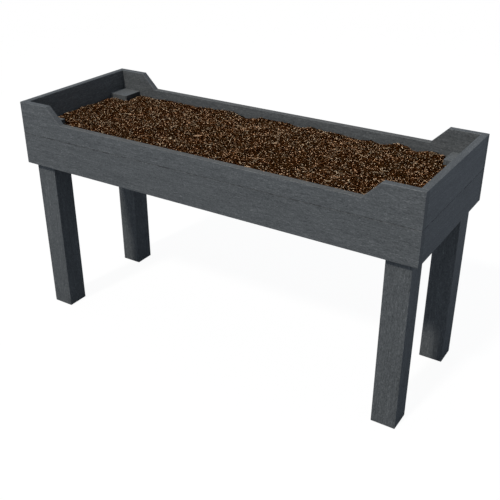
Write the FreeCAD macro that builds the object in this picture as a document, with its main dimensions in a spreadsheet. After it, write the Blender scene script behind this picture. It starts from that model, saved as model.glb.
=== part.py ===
import FreeCAD, Part
import os
import re
import math
import Sketcher

# Raised planter on legs: an open trough of two courses of boards carried on
# four square posts, with a slatted base, a liner and a fill of compost.
# Millimetres. Origin on the ground under the middle of the trough, +X along
# its length, -Y towards its front, +Z up.

V = FreeCAD.Vector
doc = FreeCAD.newDocument("raised_planter")

# ---------------------------------------------------------------- dimensions
dims = doc.addObject("Spreadsheet::Sheet", "Dims")
TABLE = [
    ("overall_length", 1650, "outside of the trough, along X"),
    ("overall_width", 600, "outside of the trough, along Y"),
    ("overall_height", 900, "ground to the top of the raised corners"),
    ("board_height", 125, "one course of boards"),
    ("board_thickness", 25, "side and end boards"),
    ("dip_depth", 62.5, "how far the long sides drop between the corners"),
    ("dip_end_flat", 137.5, "level top left at each raised corner"),
    ("dip_slope_run", 62.5, "length of the slope down into the dip"),
    ("post_size", 90, "square section of a leg post"),
    ("post_below_rim", 80, "top of a post below the raised corners"),
    ("arris", 2, "rounding of the long edges"),
    ("slat_width", 125, "base slat"),
    ("slat_thickness", 25, "base slat"),
    ("slat_gap", 8, "drainage gap between slats"),
    ("slat_play", 1, "gap left round the slats at walls and posts"),
    ("bearer_width", 45, "batten under the slats, from wall inwards"),
    ("bearer_height", 25, "batten under the slats"),
    ("cleat_width", 45, "upright batten that ties the two courses"),
    ("cleat_thickness", 25, "upright batten"),
    ("cleat_height", 100, "upright batten"),
    ("liner_thickness", 1.5, "woven ground sheet on the slats"),
    ("liner_play", 2, "gap between the sheet and walls, posts, cleats"),
    ("compost_play", 0.5, "gap between the compost and what is round it"),
    ("compost_below_rim", 90, "mean level of the compost below the corners"),
    ("hole_play", 0.2, "hole diameter over screw diameter"),
    ("sink_play", 0.9, "countersink diameter over head diameter"),
    ("hole_spare", 1, "depth of a blind hole past the screw's tip"),
    ("post_screw_dia", 5, "pan-head screw, post to board"),
    ("post_screw_length", 70, "under the head"),
    ("post_screw_head", 10, "head diameter"),
    ("post_screw_head_high", 3.2, "head height"),
    ("counterbore_dia", 11, "in the post, for the pan head"),
    ("counterbore_depth", 40, "in the post, for the pan head"),
    ("post_hole_offset", 10, "from the post's axis towards the corner"),
    ("side_screw_low", 62, "above the trough's lower edge"),
    ("side_screw_mid", 94, "above the trough's lower edge"),
    ("side_screw_top", 136, "above the trough's lower edge"),
    ("end_screw_low", 78, "above the trough's lower edge"),
    ("end_screw_mid", 110, "above the trough's lower edge"),
    ("end_screw_top", 145, "above the trough's lower edge"),
    ("bearer_screw_dia", 5, "countersunk screw, bearer to board"),
    ("bearer_screw_length", 60, "over all"),
    ("bearer_screw_head", 10, "head diameter"),
    ("bearer_screw_side", 150, "from the middle of an end bearer"),
    ("slat_screw_dia", 4.5, "countersunk screw, slat or cleat"),
    ("slat_screw_length", 40, "over all"),
    ("slat_screw_head", 9, "head diameter"),
    ("slat_screw_side", 40, "from the middle line of a slat"),
    ("notch_screw_in", 20, "from the post's face, in a notched slat"),
    ("tongue_screw_side", 90, "from the middle line of the trough"),
    ("cleat_screw_low", 70, "above the trough's lower edge"),
    ("cleat_screw_mid", 105, "above the trough's lower edge"),
    ("cleat_screw_top", 139, "above the trough's lower edge"),
    ("screw_tip", 5, "length of a screw's point"),
    ("recess_across", 3.6, "drive recess in a head, across corners"),
    ("recess_depth", 2, "drive recess in a head"),
]
dims.set("A1", "dimension")
dims.set("B1", "mm")
dims.set("C1", "what it is")
for row, (alias, value, note) in enumerate(TABLE, start=2):
    dims.set("A%d" % row, alias)
    dims.set("B%d" % row, str(value))
    dims.set("C%d" % row, note)
    dims.setAlias("B%d" % row, alias)
doc.recompute()

ALIASES = re.compile(r"\b(" + "|".join(sorted((a for a, _, _ in TABLE), key=len, reverse=True)) + r")\b")


def E(text):
    """A FreeCAD expression in which the sheet's aliases are written bare."""
    return ALIASES.sub(lambda m: "Dims." + m.group(1), text)


def D(alias):
    """A dimension's value, for the pieces that are set by shape."""
    return float(dims.get(alias))


# Levels and planes that many pieces share, as expressions.
TROUGH = "(overall_height - 2*board_height)"                   # lower edge of the trough
SEAM = "(overall_height - board_height)"                       # joint between the courses
INNER_X = "(overall_length/2 - board_thickness)"               # inner face of an end
INNER_Y = "(overall_width/2 - board_thickness)"                # inner face of a side
POST_X = "(overall_length/2 - board_thickness - post_size/2)"  # axis of a post
POST_Y = "(overall_width/2 - board_thickness - post_size/2)"
FACE_X = "(overall_length/2 - board_thickness - post_size)"    # post face that looks along X
FACE_Y = "(overall_width/2 - board_thickness - post_size)"
PITCH = "(slat_width + slat_gap)"
SLAT_TOP = "(" + TROUGH + " + bearer_height + slat_thickness)"

# ------------------------------------------------------------------- helpers


def new_body(label):
    body = doc.addObject("PartDesign::Body", label)
    body.Label = label
    return body


def origin_plane(body, role):
    for feature in body.Origin.OriginFeatures:
        if feature.Role == role:
            return feature
    raise RuntimeError("no plane " + role)


def new_sketch(body, name, role, offset="0"):
    """A sketch on one of the body's own origin planes, moved along its normal."""
    sketch = body.newObject("Sketcher::SketchObject", name)
    sketch.AttachmentSupport = [(origin_plane(body, role), "")]
    sketch.MapMode = "FlatFace"
    if offset != "0":
        sketch.setExpression("AttachmentOffset.Base.z", E(offset))
    return sketch


def fix_point(sketch, geo, point, u, v):
    """Hold a point of the sketch at the distances u and v from its origin."""
    for kind, text, axis in (("DistanceX", u, -2), ("DistanceY", v, -1)):
        if text == "0":
            sketch.addConstraint(Sketcher.Constraint("PointOnObject", geo, point, axis))
        else:
            n = sketch.addConstraint(Sketcher.Constraint(kind, -1, 1, geo, point, 1.0))
            sketch.setExpression("Constraints[%d]" % n, E(text))


def outline(body, name, role, points, offset="0"):
    """A closed outline through the points, each pair of distances bound to the sheet."""
    sketch = new_sketch(body, name, role, offset)
    count = len(points)
    start = [V(60 * math.cos(2 * math.pi * i / count), 60 * math.sin(2 * math.pi * i / count), 0) for i in range(count)]
    for i in range(count):
        sketch.addGeometry(Part.LineSegment(start[i], start[(i + 1) % count]), False)
    for i in range(count):
        sketch.addConstraint(Sketcher.Constraint("Coincident", i, 2, (i + 1) % count, 1))
    for i, (u, v) in enumerate(points):
        fix_point(sketch, i, 1, u, v)
    return sketch


def rectangle(body, name, role, across, up, base=False, offset="0"):
    """A rectangle centred on the sketch's origin, or standing on it if base is true."""
    low, high = ("0", up) if base else ("-(%s)/2" % up, "(%s)/2" % up)
    half = "(%s)/2" % across
    return outline(body, name, role, [("-" + half, low), (half, low), (half, high), ("-" + half, high)], offset)


def pad(body, sketch, length, name="pad", both=False):
    feature = body.newObject("PartDesign::Pad", name)
    feature.Profile = sketch
    if both:
        feature.SideType = "Symmetric"
    feature.setExpression("Length", E(length))
    doc.recompute()
    sketch.Visibility = False
    return feature


def pocket(body, sketch, length, name="pocket"):
    """A pocket that must remove material, turned round if it points away from it."""
    before = body.Shape.Volume
    feature = body.newObject("PartDesign::Pocket", name)
    feature.Profile = sketch
    feature.setExpression("Length", E(length))
    doc.recompute()
    if body.Shape.Volume > before - 1:
        feature.Reversed = True
        doc.recompute()
    if body.Shape.Volume > before - 1:
        raise RuntimeError("pocket cuts nothing: " + body.Label)
    sketch.Visibility = False
    return feature


def ease(body, base, keep=None, name="arris"):
    """Round the outer edges of the last feature by the sheet's arris."""
    edges = []
    for i, edge in enumerate(base.Shape.Edges, start=1):
        if keep is None or keep(edge):
            edges.append("Edge%d" % i)
    feature = body.newObject("PartDesign::Fillet", name)
    feature.Base = (base, edges)
    feature.setExpression("Radius", E("arris"))
    doc.recompute()
    return feature


def drill(body, name, role, offset, points, dia, depth=None, cut=None, cut_dia=None, cut_depth=None):
    """Round holes from a face parallel to an origin plane, with a counterbore or countersink."""
    before = body.Shape.Volume
    sketch = new_sketch(body, name + "_centres", role, offset)
    for i, (u, v) in enumerate(points):
        circle = sketch.addGeometry(Part.Circle(V(7 * i + 1, 3, 0), V(0, 0, 1), 2), False)
        fix_point(sketch, circle, 3, u, v)
        n = sketch.addConstraint(Sketcher.Constraint("Diameter", circle, 4.0))
        sketch.setExpression("Constraints[%d]" % n, E(dia))
    doc.recompute()
    hole = body.newObject("PartDesign::Hole", name)
    hole.Profile = sketch
    doc.recompute()
    hole.DrillPoint = "Flat"
    hole.DepthType = "ThroughAll" if depth is None else "Dimension"
    hole.setExpression("Diameter", E(dia))
    if depth is not None:
        hole.setExpression("Depth", E(depth))
    if cut is not None:
        hole.HoleCutType = cut
        hole.HoleCutCustomValues = True
        hole.setExpression("HoleCutDiameter", E(cut_dia))
        if cut == "Counterbore":
            hole.setExpression("HoleCutDepth", E(cut_depth))
        else:
            hole.HoleCutCountersinkAngle = 90
    doc.recompute()
    least = 0.9 * len(points) * math.pi * 2 ** 2 * 5
    if body.Shape.Volume > before - least:
        hole.Reversed = True
        doc.recompute()
    if body.Shape.Volume > before - least:
        raise RuntimeError("holes cut nothing: " + body.Label + " " + name)
    sketch.Visibility = False
    return hole


def place(obj, x="0", y="0", z="0", turn=0):
    """Put a piece at its place, with a turn about Z for the opposite hand."""
    obj.Placement = FreeCAD.Placement(V(0, 0, 0), FreeCAD.Rotation(V(0, 0, 1), turn))
    for axis, text in (("x", x), ("y", y), ("z", z)):
        obj.setExpression("Placement.Base." + axis, E(text))


pieces = []

# ---------------------------------------------------------------------- legs
# Each post stands in a corner of the trough and is fixed to both boards of
# both courses by screws driven from inside, their heads sunk in counterbores.
POST_HOLE = "post_screw_dia + hole_play"
for label, sx, sy in (
    ("leg_front_left", -1, -1),
    ("leg_front_right", 1, -1),
    ("leg_back_left", -1, 1),
    ("leg_back_right", 1, 1),
):
    leg = new_body(label)
    section = rectangle(leg, "section", "XY_Plane", "post_size", "post_size")
    shaft = pad(leg, section, "overall_height - post_below_rim")
    ease(leg, shaft)
    # XZ_Plane looks along -Y, so its offset is the post's own -Y face when positive
    drill(
        leg, "side_holes", "XZ_Plane", "%d*post_size/2" % sy,
        [("%d*post_hole_offset" % sx, TROUGH + " + " + z) for z in ("side_screw_low", "side_screw_mid", "side_screw_top")],
        POST_HOLE, None, "Counterbore", "counterbore_dia", "counterbore_depth",
    )
    drill(
        leg, "end_holes", "YZ_Plane", "%d*post_size/2" % -sx,
        [("%d*post_hole_offset" % sy, TROUGH + " + " + z) for z in ("end_screw_low", "end_screw_mid", "end_screw_top")],
        POST_HOLE, None, "Counterbore", "counterbore_dia", "counterbore_depth",
    )
    place(leg, "%d*%s" % (sx, POST_X), "%d*%s" % (sy, POST_Y))
    pieces.append(leg)

# --------------------------------------------------------------- side boards
# The long boards run the full length, past the ends of the end boards. The
# local origin is at the middle of the inner face's lower edge.
POST_DEPTH = "post_screw_length - (post_size - counterbore_depth) + hole_spare"
BEARER_DEPTH = "bearer_screw_length - bearer_width + hole_spare"
CLEAT_DEPTH = "slat_screw_length - cleat_thickness + hole_spare"
SIDE_X = "(" + POST_X + " + post_hole_offset)"
BEARER_AT = ["%d*%s" % (k, PITCH) for k in (-5, -3, -1, 1, 3, 5)]
for label, sy in (("front_lower_board", -1), ("back_lower_board", 1)):
    board = new_body(label)
    face = rectangle(board, "face", "XZ_Plane", "overall_length", "board_height", base=True)
    ease(board, pad(board, face, "board_thickness"))
    drill(board, "post_holes", "XZ_Plane", "0",
          [("%d*%s" % (k, SIDE_X), z) for k in (-1, 1) for z in ("side_screw_low", "side_screw_mid")],
          POST_HOLE, POST_DEPTH)
    drill(board, "bearer_holes", "XZ_Plane", "0", [(x, "bearer_height/2") for x in BEARER_AT],
          "bearer_screw_dia + hole_play", BEARER_DEPTH)
    drill(board, "cleat_holes", "XZ_Plane", "0", [("0", "cleat_screw_low"), ("0", "cleat_screw_mid")],
          "slat_screw_dia + hole_play", CLEAT_DEPTH)
    place(board, "0", "%d*%s" % (sy, INNER_Y), TROUGH, 0 if sy < 0 else 180)
    pieces.append(board)

for label, sy in (("front_upper_board", -1), ("back_upper_board", 1)):
    board = new_body(label)
    face = outline(board, "face", "XZ_Plane", [
        ("-overall_length/2", "0"),
        ("overall_length/2", "0"),
        ("overall_length/2", "board_height"),
        ("overall_length/2 - dip_end_flat", "board_height"),
        ("overall_length/2 - dip_end_flat - dip_slope_run", "board_height - dip_depth"),
        ("-overall_length/2 + dip_end_flat + dip_slope_run", "board_height - dip_depth"),
        ("-overall_length/2 + dip_end_flat", "board_height"),
        ("-overall_length/2", "board_height"),
    ])
    slab = pad(board, face, "board_thickness")
    dip_x = D("overall_length") / 2 - D("dip_end_flat") - D("dip_slope_run")

    def outer(edge):
        """All edges but the two inner corners at the foot of the slopes."""
        a, b = edge.Vertexes[0].Point, edge.Vertexes[-1].Point
        across = abs(a.y - b.y) > 1
        return not (across and abs(abs(a.x) - dip_x) < 0.5)

    ease(board, slab, outer)
    drill(board, "post_holes", "XZ_Plane", "0",
          [("%d*%s" % (k, SIDE_X), "side_screw_top - board_height") for k in (-1, 1)],
          POST_HOLE, POST_DEPTH)
    drill(board, "cleat_holes", "XZ_Plane", "0", [("0", "cleat_screw_top - board_height")],
          "slat_screw_dia + hole_play", CLEAT_DEPTH)
    place(board, "0", "%d*%s" % (sy, INNER_Y), SEAM, 0 if sy < 0 else 180)
    pieces.append(board)

# ---------------------------------------------------------------- end boards
# These fit between the long boards.
END_Y = "(" + POST_Y + " + post_hole_offset)"
for label, sx, upper in (
    ("left_lower_board", -1, False),
    ("right_lower_board", 1, False),
    ("left_upper_board", -1, True),
    ("right_upper_board", 1, True),
):
    board = new_body(label)
    face = rectangle(board, "face", "YZ_Plane", "overall_width - 2*board_thickness", "board_height", base=True)
    ease(board, pad(board, face, "board_thickness"))
    heights = ["end_screw_top - board_height"] if upper else ["end_screw_low", "end_screw_mid"]
    drill(board, "post_holes", "YZ_Plane", "0",
          [("%d*%s" % (k, END_Y), z) for k in (-1, 1) for z in heights], POST_HOLE, POST_DEPTH)
    if not upper:
        drill(board, "bearer_holes", "YZ_Plane", "0",
              [("%d*bearer_screw_side" % k, "bearer_height/2") for k in (-1, 1)],
              "bearer_screw_dia + hole_play", BEARER_DEPTH)
    place(board, "%d*%s" % (sx, INNER_X), "0", SEAM if upper else TROUGH, 0 if sx > 0 else 180)
    pieces.append(board)

# ------------------------------------------------------------------- bearers
# Battens laid flat along the foot of each wall between the posts.
SLAT_AT = ["(%s)*%s" % (k, PITCH) for k in (-4.5, -3.5, -2.5, -1.5, -0.5, 0.5, 1.5, 2.5, 3.5, 4.5)]
SIDE_PILOTS = [(x + " + %d*slat_screw_side" % k, "-bearer_width/2") for x in SLAT_AT for k in (-1, 1)]
SIDE_PILOTS += [("%d*(%s - notch_screw_in)" % (k, FACE_X), "-bearer_width/2") for k in (-1, 1)]
PILOT_DEPTH = "slat_screw_length - slat_thickness + hole_spare"
for label, sy in (("front_bearer", -1), ("back_bearer", 1)):
    bearer = new_body(label)
    section = outline(bearer, "section", "YZ_Plane", [
        ("0", "0"), ("0", "bearer_height"), ("-bearer_width", "bearer_height"), ("-bearer_width", "0"),
    ])
    ease(bearer, pad(bearer, section, "2*" + FACE_X, both=True))
    drill(bearer, "wall_holes", "XZ_Plane", "bearer_width", [(x, "bearer_height/2") for x in BEARER_AT],
          "bearer_screw_dia + hole_play", None, "Countersink", "bearer_screw_head + sink_play")
    drill(bearer, "slat_pilots", "XY_Plane", "bearer_height", SIDE_PILOTS,
          "slat_screw_dia + hole_play", PILOT_DEPTH)
    place(bearer, "0", "%d*%s" % (sy, INNER_Y), TROUGH, 180 if sy < 0 else 0)
    pieces.append(bearer)

for label, sx in (("left_bearer", -1), ("right_bearer", 1)):
    bearer = new_body(label)
    section = outline(bearer, "section", "XZ_Plane", [
        ("0", "0"), ("0", "bearer_height"), ("-bearer_width", "bearer_height"), ("-bearer_width", "0"),
    ])
    ease(bearer, pad(bearer, section, "2*" + FACE_Y, both=True))
    drill(bearer, "wall_holes", "YZ_Plane", "-bearer_width",
          [("%d*bearer_screw_side" % k, "bearer_height/2") for k in (-1, 1)],
          "bearer_screw_dia + hole_play", None, "Countersink", "bearer_screw_head + sink_play")
    drill(bearer, "slat_pilots", "XY_Plane", "bearer_height",
          [("-bearer_width/2", "%d*tongue_screw_side" % k) for k in (-1, 1)],
          "slat_screw_dia + hole_play", PILOT_DEPTH)
    place(bearer, "%d*%s" % (sx, INNER_X), "0", TROUGH, 0 if sx > 0 else 180)
    pieces.append(bearer)

# --------------------------------------------------------------------- slats
SLAT_SCREW_Y = "(" + INNER_Y + " - bearer_width/2)"
SINK = "slat_screw_head + sink_play"
for i, x in enumerate(SLAT_AT, start=1):
    slat = new_body("base_slat_%02d" % i)
    section = rectangle(slat, "section", "XY_Plane", "slat_width", "2*(%s - slat_play)" % INNER_Y)
    ease(slat, pad(slat, section, "slat_thickness"))
    drill(slat, "holes", "XY_Plane", "slat_thickness",
          [("%d*slat_screw_side" % k, "%d*%s" % (j, SLAT_SCREW_Y)) for k in (-1, 1) for j in (-1, 1)],
          "slat_screw_dia + hole_play", None, "Countersink", SINK)
    place(slat, x, "0", TROUGH + " + bearer_height")
    pieces.append(slat)

# The last slat at each end is notched round its two posts: a full-length
# strip inside the posts and a tongue between them.
STRIP_IN = "(5.5*%s - slat_width/2)" % PITCH
STRIP_OUT = "(%s - slat_play)" % FACE_X
TONGUE_OUT = "(5.5*%s + slat_width/2)" % PITCH
LONG_Y = "(%s - slat_play)" % INNER_Y
SHORT_Y = "(%s - slat_play)" % FACE_Y
for label, sx in (("base_slat_left_notched", -1), ("base_slat_right_notched", 1)):
    slat = new_body(label)
    section = outline(slat, "section", "XY_Plane", [
        (STRIP_IN, "-" + LONG_Y), (STRIP_OUT, "-" + LONG_Y), (STRIP_OUT, "-" + SHORT_Y), (TONGUE_OUT, "-" + SHORT_Y),
        (TONGUE_OUT, SHORT_Y), (STRIP_OUT, SHORT_Y), (STRIP_OUT, LONG_Y), (STRIP_IN, LONG_Y),
    ])
    slab = pad(slat, section, "slat_thickness")
    notch_x = D("overall_length") / 2 - D("board_thickness") - D("post_size") - D("slat_play")
    notch_y = D("overall_width") / 2 - D("board_thickness") - D("post_size") - D("slat_play")

    def outer(edge):
        """All edges but the two uprights in the corners of the notches."""
        a, b = edge.Vertexes[0].Point, edge.Vertexes[-1].Point
        upright = abs(a.z - b.z) > 1
        return not (upright and abs(a.x - notch_x) < 0.5 and abs(abs(a.y) - notch_y) < 0.5)

    ease(slat, slab, outer)
    drill(slat, "holes", "XY_Plane", "slat_thickness",
          [("%s - notch_screw_in" % FACE_X, "%d*%s" % (j, SLAT_SCREW_Y)) for j in (-1, 1)]
          + [("%s - bearer_width/2" % INNER_X, "%d*tongue_screw_side" % j) for j in (-1, 1)],
          "slat_screw_dia + hole_play", None, "Countersink", SINK)
    place(slat, "0", "0", TROUGH + " + bearer_height", 0 if sx > 0 else 180)
    pieces.append(slat)

# -------------------------------------------------------------------- cleats
# One upright batten at the middle of each long side ties the two courses.
for label, sy in (("front_cleat", -1), ("back_cleat", 1)):
    cleat = new_body(label)
    section = outline(cleat, "section", "XY_Plane", [
        ("-cleat_width/2", "-cleat_thickness"), ("cleat_width/2", "-cleat_thickness"),
        ("cleat_width/2", "0"), ("-cleat_width/2", "0"),
    ])
    ease(cleat, pad(cleat, section, "cleat_height"))
    drill(cleat, "holes", "XZ_Plane", "cleat_thickness",
          [("0", "%s - bearer_height - slat_thickness" % z) for z in ("cleat_screw_low", "cleat_screw_mid", "cleat_screw_top")],
          "slat_screw_dia + hole_play", None, "Countersink", SINK)
    place(cleat, "0", "%d*%s" % (sy, INNER_Y), SLAT_TOP, 180 if sy < 0 else 0)
    pieces.append(cleat)


# -------------------------------------------------------------- liner, compost
def inside(play):
    """Outline of the trough's inside, stepped in round the four posts, less a gap."""
    ax, ay = "(%s - %s)" % (INNER_X, play), "(%s - %s)" % (INNER_Y, play)
    bx, by = "(%s - %s)" % (FACE_X, play), "(%s - %s)" % (FACE_Y, play)
    return [
        ("-" + bx, "-" + ay), (bx, "-" + ay), (bx, "-" + by), (ax, "-" + by),
        (ax, by), (bx, by), (bx, ay), ("-" + bx, ay),
        ("-" + bx, by), ("-" + ax, by), ("-" + ax, "-" + by), ("-" + bx, "-" + by),
    ]


def cleat_slots(body, play, height, name):
    """Slots that clear the two cleats, cut up from the underside."""
    ay = "(%s - %s)" % (INNER_Y, play)
    deep = "(%s - cleat_thickness - %s)" % (INNER_Y, play)
    half = "(cleat_width/2 + %s)" % play
    for k, sign in (("front", "-"), ("back", "")):
        slot = outline(body, name + "_" + k, "XY_Plane", [
            ("-" + half, sign + deep), (half, sign + deep), (half, sign + "(%s + 1)" % ay), ("-" + half, sign + "(%s + 1)" % ay),
        ])
        pocket(body, slot, height, name + "_" + k + "_pocket")


liner = new_body("liner")
pad(liner, outline(liner, "sheet", "XY_Plane", inside("liner_play")), "liner_thickness")
cleat_slots(liner, "liner_play", "liner_thickness + 1", "cleat_slot")
place(liner, "0", "0", SLAT_TOP)
pieces.append(liner)

compost = new_body("compost")
pad(compost, outline(compost, "fill", "XY_Plane", inside("compost_play")),
    "overall_height - compost_below_rim - %s - liner_thickness - compost_play" % SLAT_TOP)
cleat_slots(compost, "compost_play", "cleat_height - liner_thickness", "cleat_slot")
place(compost, "0", "0", SLAT_TOP + " + liner_thickness + compost_play")
pieces.append(compost)

# -------------------------------------------------------------------- screws
# One plain-shanked screw of each kind, copied to every place it is used.


def recess(z, sign):
    """Six-sided drive recess in a head whose face is at z, cut against sign."""
    r = D("recess_across") / 2
    ring = [V(r * math.cos(math.radians(60 * i)), r * math.sin(math.radians(60 * i)), z) for i in range(7)]
    return Part.Face(Part.makePolygon(ring)).extrude(V(0, 0, -sign * D("recess_depth")))


def pan_screw():
    """Head above the origin, shank down -Z from the bearing face."""
    r, head = D("post_screw_dia") / 2, D("post_screw_head") / 2
    high, long = D("post_screw_head_high"), D("post_screw_length")
    side = [V(0, 0, high), V(head - 1.4, 0, high)]
    wire = [
        Part.LineSegment(side[0], side[1]).toShape(),
        Part.Arc(side[1], V(head - 0.4, 0, high - 0.6), V(head, 0, high - 1.8)).toShape(),
        Part.LineSegment(V(head, 0, high - 1.8), V(head, 0, 0)).toShape(),
        Part.LineSegment(V(head, 0, 0), V(r, 0, 0)).toShape(),
        Part.LineSegment(V(r, 0, 0), V(r, 0, -(long - D("screw_tip")))).toShape(),
        Part.LineSegment(V(r, 0, -(long - D("screw_tip"))), V(0, 0, -long)).toShape(),
        Part.LineSegment(V(0, 0, -long), side[0]).toShape(),
    ]
    body = Part.Face(Part.Wire(wire)).revolve(V(0, 0, 0), V(0, 0, 1), 360)
    return body.cut(recess(high, 1))


def sunk_screw(dia, head_dia, length):
    """Countersunk screw with its flat face on the origin, shank down -Z."""
    r, head = dia / 2, head_dia / 2
    rim = 0.3
    points = [
        V(0, 0, 0), V(head, 0, 0), V(head, 0, -rim), V(r, 0, -(rim + head - r)),
        V(r, 0, -(length - D("screw_tip"))), V(0, 0, -length), V(0, 0, 0),
    ]
    body = Part.Face(Part.makePolygon(points)).revolve(V(0, 0, 0), V(0, 0, 1), 360)
    return body.cut(recess(0, 1))


def group(label, screw, seats):
    """Separate copies of a screw, each at a seat given as a point and the way its shank runs."""
    feature = doc.addObject("Part::Feature", label)
    feature.Label = label
    solids = []
    for point, way in seats:
        turn = FreeCAD.Rotation(V(0, 0, -1), way)
        copy = screw.copy()
        copy.Placement = FreeCAD.Placement(point, turn)
        solids.append(copy)
    feature.Shape = Part.makeCompound(solids)
    feature.Placement = FreeCAD.Placement()
    return feature


inner_x = D("overall_length") / 2 - D("board_thickness")
inner_y = D("overall_width") / 2 - D("board_thickness")
face_x, face_y = inner_x - D("post_size"), inner_y - D("post_size")
trough = D("overall_height") - 2 * D("board_height")
slat_top = trough + D("bearer_height") + D("slat_thickness")
pitch = D("slat_width") + D("slat_gap")

seats = []
side_x = inner_x - D("post_size") / 2 + D("post_hole_offset")
end_y = inner_y - D("post_size") / 2 + D("post_hole_offset")
for sx in (-1, 1):
    for sy in (-1, 1):
        for name in ("side_screw_low", "side_screw_mid", "side_screw_top"):
            seats.append((V(sx * side_x, sy * (face_y + D("counterbore_depth")), trough + D(name)), V(0, sy, 0)))
        for name in ("end_screw_low", "end_screw_mid", "end_screw_top"):
            seats.append((V(sx * (face_x + D("counterbore_depth")), sy * end_y, trough + D(name)), V(sx, 0, 0)))
pieces.append(group("post_screws", pan_screw(), seats))

# countersunk heads sit a hair below the surface, clear of the cone they sit in
sunk = 0.05
seats = []
z = trough + D("bearer_height") / 2
for sy in (-1, 1):
    for k in (-5, -3, -1, 1, 3, 5):
        seats.append((V(k * pitch, sy * (inner_y - D("bearer_width") + sunk), z), V(0, sy, 0)))
for sx in (-1, 1):
    for k in (-1, 1):
        seats.append((V(sx * (inner_x - D("bearer_width") + sunk), k * D("bearer_screw_side"), z), V(sx, 0, 0)))
pieces.append(group("bearer_screws", sunk_screw(D("bearer_screw_dia"), D("bearer_screw_head"), D("bearer_screw_length")), seats))

small = sunk_screw(D("slat_screw_dia"), D("slat_screw_head"), D("slat_screw_length"))
seats = []
screw_y = inner_y - D("bearer_width") / 2
for i in range(10):
    for k in (-1, 1):
        for j in (-1, 1):
            seats.append((V((i - 4.5) * pitch + k * D("slat_screw_side"), j * screw_y, slat_top - sunk), V(0, 0, -1)))
for sx in (-1, 1):
    for j in (-1, 1):
        seats.append((V(sx * (face_x - D("notch_screw_in")), j * screw_y, slat_top - sunk), V(0, 0, -1)))
        seats.append((V(sx * (inner_x - D("bearer_width") / 2), j * D("tongue_screw_side"), slat_top - sunk), V(0, 0, -1)))
pieces.append(group("slat_screws", small, seats))

seats = []
for sy in (-1, 1):
    for name in ("cleat_screw_low", "cleat_screw_mid", "cleat_screw_top"):
        seats.append((V(0, sy * (inner_y - D("cleat_thickness") + sunk), trough + D(name)), V(0, sy, 0)))
pieces.append(group("cleat_screws", small, seats))

# ------------------------------------------------------------ check and write
doc.recompute()
for obj in doc.Objects:
    for state in obj.State:
        if state in ("Invalid", "Error"):
            raise RuntimeError("%s (%s) is %s" % (obj.Name, obj.Label, state))
for piece in pieces:
    shape = piece.Shape
    if shape.isNull() or not shape.isValid() or not shape.Solids:
        raise RuntimeError("bad shape: " + piece.Label)
os.makedirs("parts", exist_ok=True)
total = 0.0
for piece in pieces:
    piece.Shape.exportStep("parts/%s.step" % piece.Label)
    box = piece.Shape.BoundBox
    total += piece.Shape.Volume
    print("%-26s solids %2d  volume %9.1f cm3  x %7.1f..%7.1f  y %7.1f..%7.1f  z %6.1f..%6.1f" % (
        piece.Label, len(piece.Shape.Solids), piece.Shape.Volume / 1000.0,
        box.XMin, box.XMax, box.YMin, box.YMax, box.ZMin, box.ZMax))
print("pieces", len(pieces), "volume litres", round(total / 1e6, 2))
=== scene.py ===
"""Raised planter on legs: materials, compost, liner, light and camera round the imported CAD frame."""

import math
import random

import bmesh
import bpy
import numpy as np
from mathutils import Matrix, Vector


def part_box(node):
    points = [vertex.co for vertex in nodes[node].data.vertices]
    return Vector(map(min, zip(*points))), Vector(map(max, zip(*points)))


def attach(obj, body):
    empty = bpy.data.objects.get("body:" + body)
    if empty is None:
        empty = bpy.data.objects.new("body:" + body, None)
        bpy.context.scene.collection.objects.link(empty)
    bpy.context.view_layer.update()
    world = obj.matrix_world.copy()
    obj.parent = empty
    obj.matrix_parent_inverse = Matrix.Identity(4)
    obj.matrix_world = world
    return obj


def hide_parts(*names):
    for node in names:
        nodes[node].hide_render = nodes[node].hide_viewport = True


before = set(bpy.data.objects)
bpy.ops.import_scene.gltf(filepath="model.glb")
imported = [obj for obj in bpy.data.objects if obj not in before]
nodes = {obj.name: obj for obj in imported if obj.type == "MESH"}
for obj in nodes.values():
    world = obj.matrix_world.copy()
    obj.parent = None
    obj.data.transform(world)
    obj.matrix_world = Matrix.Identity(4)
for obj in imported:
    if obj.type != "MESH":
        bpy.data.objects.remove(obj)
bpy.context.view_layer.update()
scene = bpy.context.scene

# ---------------------------------------------------------------- camera

EYE = Vector((1.47294, -2.26919, 1.77167))
AIM = Vector((0.03915, 0.0, 0.36074))

camera_data = bpy.data.cameras.new("camera")
camera_data.sensor_width = 36.0
camera_data.lens = 55.186
camera = bpy.data.objects.new("camera", camera_data)
camera.location = EYE
camera.rotation_euler = (AIM - EYE).to_track_quat("-Z", "Y").to_euler()
scene.collection.objects.link(camera)
scene.camera = camera
scene.view_settings.view_transform = "Standard"


# ---------------------------------------------------------------- node helpers


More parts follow.
